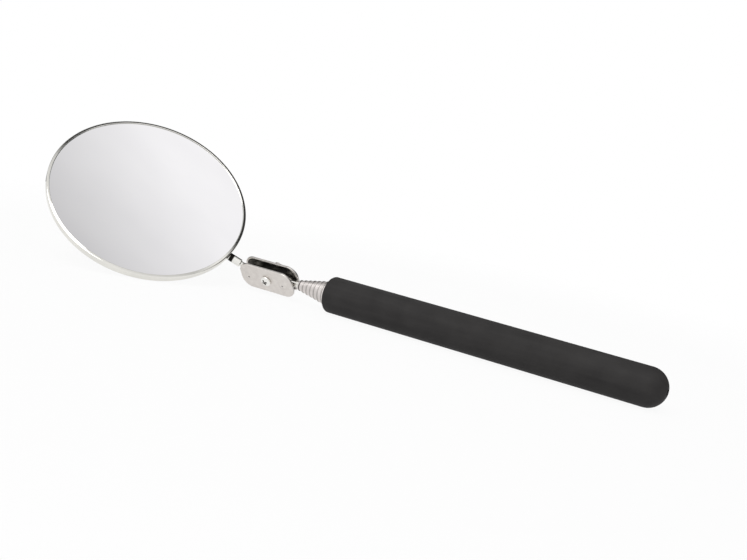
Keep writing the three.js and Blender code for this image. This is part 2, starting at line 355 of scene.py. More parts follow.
def vinylFinish(values):
    finish, graph = newFinish("blackVinyl")
    plain = ownCoordinates(graph)
    streaks = ownCoordinates(graph, values["stretch"])
    grain = noise(graph, plain, values["grainScale"], 4)
    mottle = noise(graph, plain, values["mottleScale"], 3)
    drag = noise(graph, streaks, values["streakScale"], 2)
    shade = between(graph, mottle * 0.6 + drag * 0.4, 0, 1)
    color = mixColor(graph, shade, values["dark"], values["light"])
    height = grain * values["grainHeight"] + mottle * values["mottleHeight"]
    height = height + drag * values["streakHeight"]
    closeFinish(graph, {
        "Base Color": color,
        "Roughness": between(graph, grain * 0.5 + drag * 0.5, values["smooth"], values["rough"]),
        "IOR": 1.5, "Specular IOR Level": values["specular"],
        "Normal": bumped(graph, height, 1.0)})
    return finish


def steelFinish(name, values):
    # plated steel: the grain runs along the axis that has the smallest stretch
    finish, graph = newFinish(name)
    grainPlace = ownCoordinates(graph, values["stretch"])
    plainPlace = ownCoordinates(graph)
    grain = noise(graph, grainPlace, values["grainScale"], 4, 0.6)
    cloud = noise(graph, plainPlace, values["cloudScale"], 3)
    fine = noise(graph, plainPlace, values["grainScale"] * 2, 2)
    shade = between(graph, cloud * 0.6 + grain * 0.4, 0, 1)
    color = mixColor(graph, shade, values["dark"], values["light"])
    if "rimShade" in values:
        # painted shadow and dark reflection: a dark line on the stem where it runs under the cup's edge,
        # measured from the mirror's axis
        offset = graph.add("ShaderNodeVectorMath", {"operation": "SUBTRACT"}, {
            0: ownCoordinates(graph), 1: tuple(mirrorCentre / mm)})
        lift = graph.add("ShaderNodeVectorMath", {"operation": "DOT_PRODUCT"}, {
            0: offset, 1: tuple(glassNormal)}, "Value")
        off = graph.add("ShaderNodeVectorMath", {"operation": "LENGTH"}, {0: offset}, "Value")
        away = (off * off - lift * lift) ** 0.5
        start, end, blur = values["rimShadeFrom"], values["rimShadeTo"], values["rimShadeBlur"]
        shaded = between(graph, away, 0, 1, start - blur, start + blur)
        shaded = shaded * between(graph, away, 1, 0, end - blur, end + blur)
        color = mixColor(graph, shaded, color, values["rimShade"])
    height = grain * values["grainHeight"] + fine * values["fineHeight"]
    closeFinish(graph, {
        "Base Color": color,
        "Metallic": 1.0,
        "Roughness": between(graph, cloud * 0.5 + grain * 0.5, values["smooth"], values["rough"]),
        "Normal": bumped(graph, height, 1.0)})
    return finish


def glassFinish(values):
    # silvered glass with the faintest haze of dust
    finish, graph = newFinish("silveredGlass")
    dust = noise(graph, ownCoordinates(graph), values["dustScale"], 4, 0.6)
    wipe = noise(graph, ownCoordinates(graph, values["stretch"]), values["wipeScale"], 2)
    color = mixColor(graph, between(graph, wipe, 0, 1), values["dark"], values["light"])
    closeFinish(graph, {
        "Base Color": color,
        "Metallic": 1.0,
        "Roughness": between(graph, dust * 0.7 + wipe * 0.3, values["smooth"], values["rough"])})
    return finish


def plainFinish(name, values):
    finish, graph = newFinish(name)
    grain = noise(graph, ownCoordinates(graph), values["scale"], 4, values.get("grit", 0.6))
    closeFinish(graph, {
        "Base Color": mixColor(graph, between(graph, grain, 0, 1), values["dark"], values["light"]),
        "Metallic": values["metallic"],
        "Roughness": between(graph, grain, values["smooth"], values["rough"]),
        "Normal": bumped(graph, grain, values["height"])})
    return finish


vinylLook = {
    "dark": (0.031, 0.0295, 0.0295, 1), "light": (0.046, 0.044, 0.0435, 1), "specular": 0.10,
    "stretch": (0.05, 1, 1), "grainScale": 2.4, "mottleScale": 0.12, "streakScale": 0.5,
    "grainHeight": 0.010, "mottleHeight": 0.05, "streakHeight": 0.02,
    "smooth": 0.50, "rough": 0.66}
polishedLook = {
    "dark": (0.76, 0.75, 0.71, 1), "light": (0.86, 0.845, 0.80, 1), "stretch": (0.06, 1, 1),
    "grainScale": 3.0, "cloudScale": 0.2, "grainHeight": 0.0012, "fineHeight": 0.0006,
    "smooth": 0.10, "rough": 0.22}
plateLook = {
    "dark": (0.65, 0.61, 0.58, 1), "light": (0.80, 0.765, 0.73, 1), "stretch": (0.10, 1, 1),
    "grainScale": 3.5, "cloudScale": 0.45, "grainHeight": 0.006, "fineHeight": 0.003,
    "smooth": 0.30, "rough": 0.46}
tubeLook = {
    "dark": (0.60, 0.565, 0.545, 1), "light": (0.79, 0.745, 0.725, 1), "stretch": (0.04, 1, 1),
    "grainScale": 3.5, "cloudScale": 0.35, "grainHeight": 0.003, "fineHeight": 0.001,
    "smooth": 0.32, "rough": 0.46}
glassLook = {
    "dark": (0.905, 0.895, 0.912, 1), "light": (0.94, 0.93, 0.945, 1), "dustScale": 1.5,
    "wipeScale": 0.05, "stretch": (0.15, 1, 1), "smooth": 0.008, "rough": 0.03}

blackVinyl = vinylFinish(vinylLook)
polishedSteel = steelFinish("polishedSteel", polishedLook)
cupSteel = steelFinish("polishedCupSteel", {
    **polishedLook, "stretch": (1, 1, 1), "cloudScale": 0.08, "smooth": 0.03, "rough": 0.09,
    "grainHeight": 0.0003, "fineHeight": 0.0001})
screwSteel = steelFinish("brightScrewSteel", {
    **polishedLook, "dark": (0.84, 0.83, 0.80, 1), "light": (0.93, 0.92, 0.89, 1),
    "stretch": (1, 1, 1)})
stemSteel = steelFinish("stemSteel", {
    **polishedLook, "dark": (0.84, 0.83, 0.79, 1), "light": (0.92, 0.91, 0.87, 1),
    "rimShade": (0.012, 0.011, 0.010, 1), "rimShadeFrom": 41.1, "rimShadeTo": 42.8, "rimShadeBlur": 0.15})
nickelPlate = steelFinish("nickelPlate", plateLook)
drawnTube = steelFinish("drawnTube", tubeLook)
silveredGlass = glassFinish(glassLook)

# smaller areas of painted shade: in the rings, the recess, the dimples and between the plates; the sheared
# edge is darker and also carries painted shade
grooveShade = steelFinish("grooveShade", {
    **tubeLook, "dark": (0.38, 0.36, 0.345, 1), "light": (0.55, 0.52, 0.50, 1)})
darkGrooveShade = steelFinish("darkGrooveShade", {
    **tubeLook, "dark": (0.05, 0.044, 0.04, 1), "light": (0.12, 0.105, 0.10, 1)})
recessShade = steelFinish("recessShade", {
    **polishedLook, "dark": (0.34, 0.33, 0.32, 1), "light": (0.48, 0.47, 0.455, 1)})
shearedAndShadedEdge = steelFinish("shearedAndShadedEdge", {
    **plateLook, "dark": (0.48, 0.46, 0.44, 1), "light": (0.66, 0.635, 0.61, 1)})
dimpleShade = steelFinish("dimpleShade", {
    **plateLook, "dark": (0.16, 0.15, 0.145, 1), "light": (0.30, 0.29, 0.28, 1)})
gapShade = steelFinish("gapShade", {
    **plateLook, "dark": (0.035, 0.033, 0.030, 1), "light": (0.10, 0.094, 0.085, 1),
    "smooth": 0.30, "rough": 0.45})

# the ground edge of the glass, where its green body shows
groundEdge = plainFinish("groundGlassEdge", {
    "dark": (0.50, 0.58, 0.55, 1), "light": (0.72, 0.79, 0.76, 1), "scale": 6.0, "grit": 0.5,
    "smooth": 0.14, "rough": 0.28, "metallic": 0.7, "height": 0.01})
bushBrass = plainFinish("bushBrass", {
    "dark": (0.50, 0.34, 0.13, 1), "light": (0.66, 0.47, 0.21, 1), "scale": 1.5,
    "smooth": 0.25, "rough": 0.42, "metallic": 1.0, "height": 0.004})
blackNylon = plainFinish("blackNylon", {
    "dark": (0.012, 0.012, 0.012, 1), "light": (0.03, 0.03, 0.03, 1), "scale": 2.0,
    "smooth": 0.45, "rough": 0.6, "metallic": 0.0, "height": 0.01})
greyFoam = plainFinish("greyFoam", {
    "dark": (0.09, 0.09, 0.085, 1), "light": (0.2, 0.2, 0.19, 1), "scale": 2.5,
    "smooth": 0.8, "rough": 0.95, "metallic": 0.0, "height": 0.08})
nylonRing = plainFinish("nylonRing", {
    "dark": (0.05, 0.09, 0.2, 1), "light": (0.08, 0.14, 0.28, 1), "scale": 2.0,
    "smooth": 0.4, "rough": 0.55, "metallic": 0.0, "height": 0.01})
print("finishes made")

# the vinyl grip, with its domed end and vent hole

grip = {
    "sides": 160, "frontFillet": 2.2, "mouthFillet": 0.35, "holeRadius": 1.0, "holeFillet": 0.45,
    "boreGap": 0.05, "endWall": 10.8, "poleSteps": 24}


def makeGrip(values):
    radius, front, rear = turnedSize("grip_sleeve")
    bore = turnedSize("tube_1")[0] + values["boreGap"]
    boreEnd = rear - values["endWall"]
    centre = rear - radius
    hole = values["holeRadius"]
    lastAngle = math.acos((hole + values["holeFillet"]) / radius)
    dome = []
    for step in range(values["poleSteps"] + 1):
        angle = lastAngle * step / values["poleSteps"]
        dome.append((centre + radius * math.sin(angle), radius * math.cos(angle), 0))
    corners = [
        (boreEnd, bore, 0), (front, bore, values["mouthFillet"]), (front, radius, values["frontFillet"]),
        *dome,
        (centre + math.sqrt(radius ** 2 - hole ** 2), hole, values["holeFillet"]),
        (boreEnd, hole, 0)]
    piece = turned("vinyl_grip", filleted(corners, True, 10), values["sides"], rodPlace, blackVinyl, 60)
    return finishPiece(piece, "grip", "vinyl_grip", "grip_sleeve")


makeGrip(grip)
print("grip made")

# the seven telescoping tubes

tubeCount = 7
tubes = {
    "sides": 96, "wall": 0.25, "lipGap": 0.05, "frontFillet": 0.34, "lipLength": 0.5,
    "crimpAt": 0.72, "crimpLength": 0.56, "crimpDepth": 0.16, "shadeUnder": 0.05, "shadeBelow": 0.012}


def makeTube(number, passing, values):
    # the front is rolled in round the next tube, with a fine crimped ring behind it
    radius, front, rear = turnedSize("tube_%d" % number)
    bore = radius - values["wall"]
    lip = passing + values["lipGap"]
    lipEnd = front + values["lipLength"]
    crimp = front + values["crimpAt"]
    reach = values["crimpLength"] / 2
    low = radius - values["crimpDepth"]
    corners = [
        (rear, bore, 0.05), (lipEnd + bore - lip, bore, 0.1), (lipEnd, lip, 0.05), (front, lip, 0.06),
        (front, radius, values["frontFillet"]),
        (crimp - reach, radius, 0.06), (crimp, low, 0.05), (crimp + reach, radius, 0.06),
        (rear, radius, 0.08)]
    name = "section_%d_tube" % number
    piece = turned(name, filleted(corners, True, 5), values["sides"], rodPlace, drawnTube, 50)
    # the crimped ring is painted dark as shade, darkest on the innermost tube
    piece.data.materials.append(darkGrooveShade if number == tubeCount else grooveShade)
    for face in piece.data.polygons:
        x = (face.center.x - rodBallAt.x) / mm
        away = math.hypot(face.center.y - rodBallAt.y, face.center.z - rodBallAt.z) / mm
        inRing = low - values["shadeUnder"] < away < radius - values["shadeBelow"]
        if inRing and abs(x - crimp) < reach:
            face.material_index = 1
    return piece


studNeck = 1.4
for number in range(1, tubeCount + 1):
    passing = turnedSize("tube_%d" % (number + 1))[0] if number < tubeCount else studNeck
    piece = makeTube(number, passing, tubes)
    body = "grip" if number == 1 else "section_%d" % number
    finishPiece(piece, body, "tube_steel", "tube_%d" % number)
print("tubes made")

# the ball studs and the mirror's stem

studs = {
    "sides": 96, "ballRadius": 2.85, "poleSteps": 40, "shoulder": 1.35, "plugLength": 10, "plugGap": 0.09,
    "holeEdge": 0.12, "holeEdgeDepth": 0.05}


def ballProfile(radius, neck, steps):
    # from the far pole round to where the neck starts, with the ball at 0 and the neck towards +X
    last = math.pi - math.asin(neck / radius)
    return [(-radius * math.cos(last * i / steps), radius * math.sin(last * i / steps), 0)
            for i in range(steps + 1)]


def makeRodStud(values):
    tubeRadius, tubeFront, _ = turnedSize("tube_%d" % tubeCount)
    plug = tubeRadius - tubes["wall"] - values["plugGap"]
    shoulder = tubeFront + values["shoulder"]
    end = shoulder + values["plugLength"]
    ball = ballProfile(values["ballRadius"], studNeck, values["poleSteps"])
    corners = [*ball, (shoulder, studNeck, 0.1), (shoulder, plug, 0.2), (end, plug, 0.4), (end, 0, 0)]
    piece = turned("rod_ball", filleted(corners), values["sides"], rodPlace, polishedSteel)
    return finishPiece(piece, "rod_stud", "polished_steel", "rod_ball_stud")


stem = {
    "sides": 96, "radius": 1.65, "neck": 1.1, "neckEnd": 6.3, "taper": 0.3, "pin": 0.7, "pinGap": 0.1,
    "tail": 41.4, "tipFillet": 0.8, "neckFillet": 0.15, "seatFillet": 0.12, "seatGap": 0.05}


def makeMirrorBall(values, shape):
    ball = values["ballRadius"]
    hole = shape["pin"] + shape["pinGap"]
    last = math.pi - math.asin((hole + values["holeEdge"]) / ball)
    corners = []
    for i in range(values["poleSteps"] + 1):
        angle = last * i / values["poleSteps"]
        corners.append((ball * math.cos(angle), ball * math.sin(angle), 0))
    mouth = -math.sqrt(ball ** 2 - hole ** 2) + values["holeEdgeDepth"]
    corners += [(mouth, hole, 0), (0, hole, 0), (0, 0, 0)]
    piece = turned("mirror_pivot_ball", filleted(corners), values["sides"], stemPlace, polishedSteel)
    return finishPiece(piece, "mirror_pivot", "polished_steel", "mirror_ball")


def makeStem(values):
    hole = values["pin"] + values["pinGap"]
    pinEnd = math.sqrt(studs["ballRadius"] ** 2 - hole ** 2) + values["seatGap"]
    fillet = values["neckFillet"]
    corners = [
        (-values["tail"], 0, 0), (-values["tail"], values["radius"], values["tipFillet"]),
        (-values["neckEnd"] - values["taper"], values["radius"], fillet),
        (-values["neckEnd"], values["neck"], fillet),
        (-pinEnd, values["neck"], values["seatFillet"]), (-pinEnd, values["pin"], 0),
        (-values["pinGap"], values["pin"], fillet), (-values["pinGap"], 0, 0)]
    piece = turned("stem_rod", filleted(corners), values["sides"], stemPlace, stemSteel)
    return finishPiece(piece, "mirror_head", "polished_steel", "mirror_stem")


makeRodStud(studs)
makeMirrorBall(studs, stem)
makeStem(stem)
print("ball studs made")

# the two pressed plates of the ball joint

plates = {
    "length": 26.0, "width": 12.2, "cornerRadius": 4.6, "thickness": 0.95, "gap": 3.6, "holeRadius": 1.6,
    "holeRound": 0.1, "edgeRound": 0.28, "innerRound": 0.12, "seatRadius": 2.95, "domeWall": 0.6,
    "blendOuter": 0.5, "blendInner": 0.12, "dimpleRadius": 0.5, "dimpleDepth": 0.36,
    "dimpleShadeReach": 0.9, "unshadedBorder": 0.7, "angles": 288, "rings": 52, "smallSteps": 3, "edgeSteps": 6}
plateMiddle = (rodBallAt + mirrorBallAt) / 2


def outlineReach(angle, values):
    # distance from the middle of a rounded rectangle to its outline, in mm
    across = Vector((math.cos(angle), math.sin(angle)))
    halfLength, halfWidth = values["length"] / 2, values["width"] / 2
    radius = values["cornerRadius"]
    corner = Vector((halfLength - radius, halfWidth - radius))
    ray = Vector((abs(across.x), abs(across.y)))
    reach = min(halfLength / max(ray.x, 1e-9), halfWidth / max(ray.y, 1e-9))
    hit = ray * reach
    if hit.x > corner.x and hit.y > corner.y:
        middleOn = ray.dot(corner)
        reach = middleOn + math.sqrt(max(radius ** 2 - corner.length_squared + middleOn ** 2, 0))
    return across, reach


def softMax(first, second, blend):
    share = max(blend - abs(first - second), 0) / blend
    return max(first, second) + share * share * blend / 4


def makePlate(name, side, node, values):
    outer = values["gap"] / 2 + values["thickness"]
    inner = values["gap"] / 2
    half = ballSpacing / 2
    domeRadius = values["seatRadius"] + values["domeWall"]

    def fromBall(x, y):
        return math.hypot(abs(x) - half, y)

    def outside(x, y):
        far = fromBall(x, y)
        dome = math.sqrt(domeRadius ** 2 - far ** 2) if far < domeRadius else 0
        dimple = values["dimpleDepth"] * math.exp(-(far / values["dimpleRadius"]) ** 2)
        return softMax(outer, dome, values["blendOuter"]) - dimple

    def inside(x, y):
        far = fromBall(x, y)
        seat = math.sqrt(values["seatRadius"] ** 2 - far ** 2) if far < values["seatRadius"] else 0
        return softMax(inner, seat, values["blendInner"])

    # one closed section for every angle: up the hole, over the face, round the edge and back
    rings, smallSteps, edgeSteps = values["rings"], values["smallSteps"], values["edgeSteps"]
    edge, low, lip = values["edgeRound"], values["innerRound"], values["holeRound"]
    hole = values["holeRadius"]
    verts = []
    for a in range(values["angles"]):
        across, reach = outlineReach(2 * math.pi * a / values["angles"], values)
        section = []
        for i in range(smallSteps + 1):
            turn = math.pi / 2 * i / smallSteps
            section.append((hole + lip - lip * math.cos(turn), outer - lip + lip * math.sin(turn), 0))
        for i in range(1, rings + 1):
            section.append((hole + lip + (reach - edge - hole - lip) * i / rings, None, 1))
        for i in range(1, edgeSteps + 1):
            turn = math.pi / 2 * i / edgeSteps
            section.append((reach - edge + edge * math.sin(turn), outer - edge + edge * math.cos(turn), 0))
        for i in range(smallSteps + 1):
            turn = math.pi / 2 * i / smallSteps
            section.append((reach - low + low * math.cos(turn), inner + low - low * math.sin(turn), 0))
        for i in range(rings - 1, -1, -1):
            section.append((hole + lip + (reach - low - hole - lip) * i / rings, None, -1))
        section.append((hole, inner + lip, 0))
        for r, z, face in section:
            x, y = across.x * r, across.y * r
            if face:
                z = outside(x, y) if face > 0 else inside(x, y)
            verts.append((x * mm, y * mm, z * mm))
    count = len(section)
    faces = []
    for a in range(values["angles"]):
        b = (a + 1) % values["angles"]
        for i in range(count):
            j = (i + 1) % count
            faces.append((a * count + i, b * count + i, b * count + j, a * count + j))
    mesh = bpy.data.meshes.new(name)
    mesh.from_pydata(verts, [], faces)
    for finish in (nickelPlate, gapShade, dimpleShade, shearedAndShadedEdge):
        mesh.materials.append(finish)
    insideFrom = count - rings - 1
    flatEdge = smallSteps + rings + edgeSteps  # the face between the two rounds of the edge
    for face in mesh.polygons:
        across, reach = outlineReach(math.atan2(face.center.y, face.center.x), values)
        fromEdge = reach - math.hypot(face.center.x, face.center.y) / mm
        fromDome = fromBall(face.center.x / mm, face.center.y / mm)
        # the inner faces are painted near black as the shade between the plates, except for a border by the
        # edge
        if face.index % count >= insideFrom and fromEdge > values["unshadedBorder"]:
            face.material_index = 1
        # the dimples on the domes are painted darker as shade
        elif face.center.z / mm > outer and fromDome < values["dimpleRadius"] * values["dimpleShadeReach"]:
            face.material_index = 2
        # the flat of the edge is a darker sheared edge, and its dark line is also painted shade
        elif face.index % count == flatEdge:
            face.material_index = 3
    piece = newPiece(name, mesh)
    tidyMesh(piece, placed(plateMiddle, (1, 0, 0), plateNormal * side), 40)
    return finishPiece(piece, "joint_plates", "nickel_plate", node)


makePlate("front_plate", 1, "joint_plate_front", plates)
makePlate("rear_plate", -1, "joint_plate_rear", plates)
print("plates made")

# the clamping screw, with its thread and cross recess

screw = {
    "sides": 96, "shank": 1.45, "threadPitch": 0.5, "threadDepth": 0.24, "tip": -7.1, "tipChamfer": 0.3,
    "threadSteps": 8, "threadFrom": 0.15, "threadTo": 0.55, "runOut": 0.5,
    "headBase": 2.8, "headRadius": 2.35, "headRim": 0.5, "headHeight": 1.5, "crownSteps": 14,
    "recessLength": 2.9, "recessWidth": 0.8, "recessDepth": 0.8,
    "recessTaper": 0.55, "recessFlare": 1.1, "recessAbove": 0.2, "recessTurn": 20}
screwPlace = placed(plateMiddle, plateNormal, (1, 0, 0))


def wedge(name, values, turn):
    # one tapered arm pair of the recess, wide at the top
    top = values["headBase"] + values["headHeight"] + values["recessAbove"]
    bottom = values["headBase"] + values["headHeight"] - values["recessDepth"]
    shape = bmesh.new()
    rings = []
    for z, part in ((bottom, values["recessTaper"]), (top, values["recessFlare"])):
        length = values["recessLength"] / 2 * part
        width = values["recessWidth"] / 2 * (0.4 + 0.6 * part)
        rings.append([shape.verts.new((z, x, y)) for x, y in (
            (-length, -width), (length, -width), (length, width), (-length, width))])
    shape.faces.new(rings[0])
    shape.faces.new(rings[1])
    for i in range(4):
        shape.faces.new((rings[0][i], rings[0][(i + 1) % 4], rings[1][(i + 1) % 4], rings[1][i]))
    bmesh.ops.recalc_face_normals(shape, faces=shape.faces)
    spin = Matrix.Rotation(turn, 3, "X")
    bmesh.ops.rotate(shape, verts=shape.verts, cent=(0, 0, 0), matrix=spin)
    bmesh.ops.scale(shape, verts=shape.verts, vec=(mm, mm, mm))
    mesh = bpy.data.meshes.new(name)
    shape.to_mesh(mesh)
    shape.free()
    return newPiece(name, mesh)


def cutAway(piece, cutter):
    modifier = piece.modifiers.new("cut", "BOOLEAN")
    modifier.operation = "DIFFERENCE"
    modifier.solver = "EXACT"
    modifier.object = cutter
    bpy.context.view_layer.update()
    depsgraph = bpy.context.evaluated_depsgraph_get()
    mesh = bpy.data.meshes.new_from_object(piece.evaluated_get(depsgraph))
    piece.modifiers.remove(modifier)
    piece.data = mesh
    bpy.data.objects.remove(cutter)
    return piece


def makeScrew(values):
    base, head = values["headBase"], values["headRadius"]
    crown = values["headHeight"] - values["headRim"]
    corners = [(values["tip"], 0, 0), (values["tip"], values["shank"], values["tipChamfer"])]
    along = values["tip"] + 2 * values["tipChamfer"]
    while along < base - values["runOut"]:
        corners.append((along, values["shank"], 0))
        along += values["threadPitch"] / values["threadSteps"]
    corners += [(base, values["shank"], 0.1), (base, head, 0.12)]
    for step in range(values["crownSteps"] + 1):
        turn = math.pi / 2 * step / values["crownSteps"]
        corners.append((base + values["headRim"] + crown * math.sin(turn), head * math.cos(turn), 0))
    corners[-1] = (corners[-1][0], 0, 0)
    piece = swept("clamp_screw", filleted(corners, False, 4), values["sides"], screwSteel)
    # the thread starts just past the tip and fades out towards the head
    start, end = values["tip"] + values["threadFrom"], base - values["threadTo"]
    for vertex in piece.data.vertices:
        x, y, z = vertex.co / mm
        radius = math.hypot(y, z)
        if start < x < end and radius > 1:
            phase = (x / values["threadPitch"] - math.atan2(z, y) / (2 * math.pi)) % 1
            fade = min(1, (end - x) / values["runOut"])
            depth = values["threadDepth"] * fade * (1 - abs(2 * phase - 1))
            vertex.co.y *= (radius - depth) / radius
            vertex.co.z *= (radius - depth) / radius
    for turn in (0, math.pi / 2):
        cutAway(piece, wedge("recess_cutter", values, turn + math.radians(values["recessTurn"])))
    oneFinish(piece, screwSteel)
    piece.data.materials.append(recessShade)
    for face in piece.data.polygons:
        # the recess is whatever lies under the crown's surface, well inside the head, and is painted darker
        # as shade
        x, away = face.center.x / mm, math.hypot(face.center.y, face.center.z) / mm
        crownAt = base + values["headRim"] + crown * math.sqrt(max(1 - (away / head) ** 2, 0))
        sunk = x > base + 0.2 and away < head - 0.4 and x < crownAt - 0.06
        face.material_index = 1 if sunk else 0
    tidyMesh(piece, screwPlace, 32)
    return finishPiece(piece, "joint_plates", "polished_steel", "joint_screw")


makeScrew(screw)

# the lock nut: a turned blank with chamfered ends, cut down to six flats

nut = {
    "sides": 192, "acrossFlats": 5.5, "top": -2.8, "hexHeight": 2.4, "collarHeight": 1.5,
    "collarRadius": 2.3, "bore": 1.55, "chamfer": 0.35, "chamferSteps": 6, "chamferLean": 0.55,
    "ringInner": 1.5, "ringOuter": 2.02, "ringGap": 0.02, "ringDepth": 0.9, "ringSides": 64}


def makeNut(values):
    corner = values["acrossFlats"] / math.sqrt(3)
    top = values["top"]
    hexEnd = top - values["hexHeight"]
    end = hexEnd - values["collarHeight"]
    lean = values["chamfer"] * values["chamferLean"]
    steps = values["chamferSteps"]
    corners = [(top, values["bore"], 0.15)]
    for i in range(steps + 1):
        corners.append((top - lean * i / steps, corner - values["chamfer"] * (1 - i / steps), 0))
    for i in range(steps, -1, -1):
        corners.append((hexEnd + lean * i / steps, corner - values["chamfer"] * (1 - i / steps), 0))
    groove = values["ringOuter"] + values["ringGap"]
    corners += [
        (hexEnd, values["collarRadius"], 0.15), (end, values["collarRadius"], 0.5),
        (end, groove, 0.08), (end + values["ringDepth"], groove, 0),
        (end + values["ringDepth"], values["bore"], 0)]
    piece = swept("hex_lock_nut", filleted(corners, True, 5), values["sides"], nickelPlate)
    for vertex in piece.data.vertices:
        y, z = vertex.co.y / mm, vertex.co.z / mm
        radius = math.hypot(y, z)
        flat = (math.atan2(z, y) + math.pi / 6) % (math.pi / 3) - math.pi / 6
        flat = math.pi / 6 - abs(flat)
        limit = values["acrossFlats"] / 2 / math.cos(math.pi / 6 - flat)
        if radius > values["collarRadius"] + 0.02 and radius > limit:
            vertex.co.y *= limit / radius
            vertex.co.z *= limit / radius
    oneFinish(piece, nickelPlate)
    tidyMesh(piece, screwPlace, 28)
    finishPiece(piece, "joint_plates", "nickel_plate", "lock_nut")
    ring = turned("lock_nut_ring", filleted([
        (end + 0.88, values["ringInner"], 0), (end + 0.88, values["ringOuter"], 0),
        (end + 0.12, values["ringOuter"], 0.1), (end + 0.12, values["ringInner"], 0.15)], True, 4),
        values["ringSides"], screwPlace, nylonRing)
    return finishPiece(ring, "joint_plates", "nylon_plug")


makeNut(nut)
print("screw and nut made")

# the mirror: cup, glass and the saddle that holds the stem

mirror = {
    "sides": 320, "radius": 41.3, "cupDepth": 3.45, "cupWall": 0.5, "cupFillet": 1.3, "lipFillet": 0.45,
    "lip": 0.4, "lipDrop": 0.19, "lipRadius": 40.1, "glassRadius": 40.75, "glassFront": -0.45,
    "glassBack": -2.35, "bevelDepth": 0.3, "bevelWidth": 0.7, "bevelMargin": 0.03}
mirrorPlace = placed(mirrorCentre, glassNormal, stemAxis)


def makeCup(values):
    back = -values["cupDepth"]
    inside = values["radius"] - values["cupWall"]
    corners = [
        (back, 0, 0), (back, values["radius"], values["cupFillet"]),
        (-values["lipDrop"], values["radius"], values["lipFillet"]), (0, values["lipRadius"], 0.12),
        (-values["lip"], values["lipRadius"], 0.08), (-values["lip"], inside, 0.25),
        (back + values["cupWall"], inside, values["cupFillet"] - values["cupWall"]),
        (back + values["cupWall"], 0, 0)]
    points = filleted(corners, False, 10)
    piece = turned("mirror_cup_shell", points, values["sides"], mirrorPlace, cupSteel, 40)
    return finishPiece(piece, "mirror_head", "polished_steel", "mirror_cup")


def makeGlass(values):
    face, back = values["glassFront"], values["glassBack"]
    radius = values["glassRadius"]
    corners = [
        (back, 0, 0), (back, radius, 0.15), (face - values["bevelDepth"], radius, 0.06),
        (face, radius - values["bevelWidth"], 0.05), (face, 0, 0)]
    points = filleted(corners, False, 3)
    piece = turned("mirror_disc", points, values["sides"], mirrorPlace, silveredGlass, 8)
    piece.data.materials.append(groundEdge)
    inner = (radius - values["bevelWidth"] - values["bevelMargin"]) * mm
    for face in piece.data.polygons:
        offset = face.center - mirrorCentre
        if (offset - glassNormal * offset.dot(glassNormal)).length > inner:
            face.material_index = 1
    return finishPiece(piece, "mirror_head", "silvered_glass", "mirror_glass")


saddle = {
    "start": -29.4, "length": 14.0, "flat": 1.70, "inner": 1.75, "wall": 0.8, "flange": 4.5,
    "bendFillet": 0.8, "cornerRound": 1.4, "edgeBevel": 0.12}


def makeSaddle(values):
    flat, inner, wall = values["flat"], values["inner"], values["wall"]
    outer = inner + wall
    reach = outer + values["flange"]
    bend = values["bendFillet"]
    under = [math.pi + math.pi * i / 24 for i in range(25)]
    corners = [(-reach, flat, 0), (-reach, flat - wall, 0), (-outer, flat - wall, bend * 0.5)]
    corners += [(outer * math.cos(t), outer * math.sin(t), 0) for t in under]
    corners += [
        (outer, flat - wall, bend * 0.5), (reach, flat - wall, 0), (reach, flat, 0), (inner, flat, bend)]
    corners += [(inner * math.cos(t), inner * math.sin(t), 0) for t in reversed(under)]
    corners += [(-inner, flat, bend)]
    outline = filleted(corners, True, 6)[:-1]
    shape = bmesh.new()
    ends = []
    for x in (values["start"], values["start"] + values["length"]):
        ends.append([shape.verts.new((x, p.x, p.y)) for p in outline])
    shape.faces.new(ends[0])
    shape.faces.new(ends[1])
    count = len(outline)
    for i in range(count):
        shape.faces.new((ends[0][i], ends[0][(i + 1) % count], ends[1][(i + 1) % count], ends[1][i]))
    bmesh.ops.remove_doubles(shape, verts=shape.verts, dist=1e-4)
    bmesh.ops.recalc_face_normals(shape, faces=shape.faces)
    upright = [e for e in shape.edges if all(abs(abs(v.co.y) - reach) < 1e-4 for v in e.verts)
               and abs(e.verts[0].co.x - e.verts[1].co.x) < 1e-4]
    bmesh.ops.bevel(
        shape, geom=upright, offset=values["cornerRound"], segments=6, profile=0.5, affect="EDGES")
    sharp = math.radians(60)
    rim = [e for e in shape.edges if len(e.link_faces) == 2 and e.calc_face_angle(0) > sharp]
    bmesh.ops.bevel(
        shape, geom=rim, offset=values["edgeBevel"], segments=2, profile=0.5, affect="EDGES")
    bmesh.ops.scale(shape, verts=shape.verts, vec=(mm, mm, mm))
    mesh = bpy.data.meshes.new("stem_strap")
    shape.to_mesh(mesh)
    shape.free()
    mesh.materials.append(nickelPlate)
    piece = newPiece("stem_strap", mesh)
    tidyMesh(piece, stemPlace, 35)
    return finishPiece(piece, "mirror_head", "nickel_plate", "stem_saddle")


# spot welds along both flanges of the saddle
welds = {
    "rows": 3, "rowPitch": 4.2, "across": 4.9, "radius": 1.0, "height": 0.12, "middle": -22.4,
    "face": 0.9, "turns": 24}


def weldTree():
    tree = bpy.data.node_groups.new("spotWelds", "GeometryNodeTree")
    graph, (_, rows, pitch, across, radius, height, turns, paint) = startTree(tree, (
        ("Rows", "Int"), ("Row Pitch", "Float"), ("Across", "Float"), ("Radius", "Float"),
        ("Height", "Float"), ("Turns", "Int"), ("Finish", "Material")))
    points = graph.add("GeometryNodeMeshGrid", None, {
        "Size X": pitch * (rows - 1), "Size Y": across * 2, "Vertices X": rows, "Vertices Y": 2})
    nugget = graph.add("GeometryNodeMeshUVSphere", None, {"Segments": turns, "Rings": 8, "Radius": radius})
    squashed = graph.add("GeometryNodeTransform", None, {
        "Geometry": nugget,
        "Scale": graph.add("ShaderNodeCombineXYZ", None, {"X": 1.0, "Y": 1.0, "Z": height / radius})})
    placedOn = graph.add("GeometryNodeInstanceOnPoints", None, {"Points": points, "Instance": squashed})
    return closeTree(graph, placedOn, paint)


